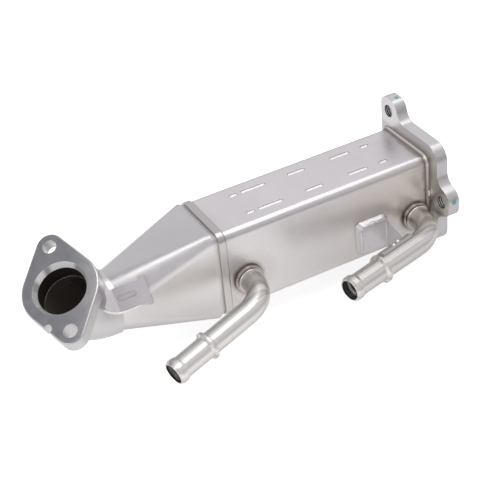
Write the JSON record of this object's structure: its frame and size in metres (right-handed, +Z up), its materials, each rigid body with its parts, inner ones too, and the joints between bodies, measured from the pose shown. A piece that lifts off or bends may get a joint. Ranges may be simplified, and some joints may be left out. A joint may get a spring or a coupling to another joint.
{
  "type": "egr cooler",
  "caption": "Exhaust gas recirculation cooler: a rectangular steel tube bundle housing with flanged gas ends and two bent coolant pipes.",
  "frame": {"origin": "middle of the gas outlet flange's mating face", "axes": "+X along the body towards the gas outlet, +Z up, coolant pipes leave the -Y side"},
  "size_m": [0.2838, 0.1009, 0.1002],
  "materials": {
    "shell": "satin pressed stainless sheet, straw heat tint at the ends",
    "inlet_header": "satin stainless steel",
    "outlet_header": "satin stainless steel",
    "tube_support_1": "satin stainless steel",
    "tube_support_2": "satin stainless steel",
    "gas_tube_1": "satin stainless steel",
    "gas_tube_2": "satin stainless steel",
    "gas_tube_3": "satin stainless steel",
    "gas_tube_4": "satin stainless steel",
    "gas_tube_5": "satin stainless steel",
    "gas_tube_6": "satin stainless steel",
    "gas_tube_7": "satin stainless steel",
    "gas_fin_1": "satin stainless steel",
    "gas_fin_2": "satin stainless steel",
    "gas_fin_3": "satin stainless steel",
    "gas_fin_4": "satin stainless steel",
    "gas_fin_5": "satin stainless steel",
    "gas_fin_6": "satin stainless steel",
    "gas_fin_7": "satin stainless steel",
    "inlet_diffuser": "satin drawn stainless sheet, greyed by heat",
    "inlet_elbow": "satin stainless casting",
    "inlet_flange": "machined face, darker sides",
    "inlet_flange_weld": "satin stainless steel",
    "diffuser_bracket": "satin stainless steel",
    "outlet_flange": "machined edge, heat tinted near face",
    "outlet_flange_weld": "satin stainless steel",
    "coolant_inlet_pipe": "bright satin tube",
    "coolant_outlet_pipe": "bright satin tube",
    "inlet_pipe_collar": "satin stainless steel",
    "outlet_pipe_collar": "satin stainless steel",
    "shell_bracket": "satin stainless steel"
  },
  "bodies": {
    "root": {"shell": "shell", "inlet_header": "inlet_header", "outlet_header": "outlet_header", "tube_support_1": "tube_support_1", "tube_support_2": "tube_support_2", "gas_tube_1": "gas_tube_1", "gas_tube_2": "gas_tube_2", "gas_tube_3": "gas_tube_3", "gas_tube_4": "gas_tube_4", "gas_tube_5": "gas_tube_5", "gas_tube_6": "gas_tube_6", "gas_tube_7": "gas_tube_7", "gas_fin_1": "gas_fin_1", "gas_fin_2": "gas_fin_2", "gas_fin_3": "gas_fin_3", "gas_fin_4": "gas_fin_4", "gas_fin_5": "gas_fin_5", "gas_fin_6": "gas_fin_6", "gas_fin_7": "gas_fin_7", "inlet_diffuser": "inlet_diffuser", "inlet_elbow": "inlet_elbow", "inlet_flange": "inlet_flange", "inlet_flange_weld": "inlet_flange_weld", "diffuser_bracket": "diffuser_bracket", "outlet_flange": "outlet_flange", "outlet_flange_weld": "outlet_flange_weld", "coolant_inlet_pipe": "coolant_inlet_pipe", "coolant_outlet_pipe": "coolant_outlet_pipe", "inlet_pipe_collar": "inlet_pipe_collar", "outlet_pipe_collar": "outlet_pipe_collar", "shell_bracket": "shell_bracket"}
  },
  "joints": []
}
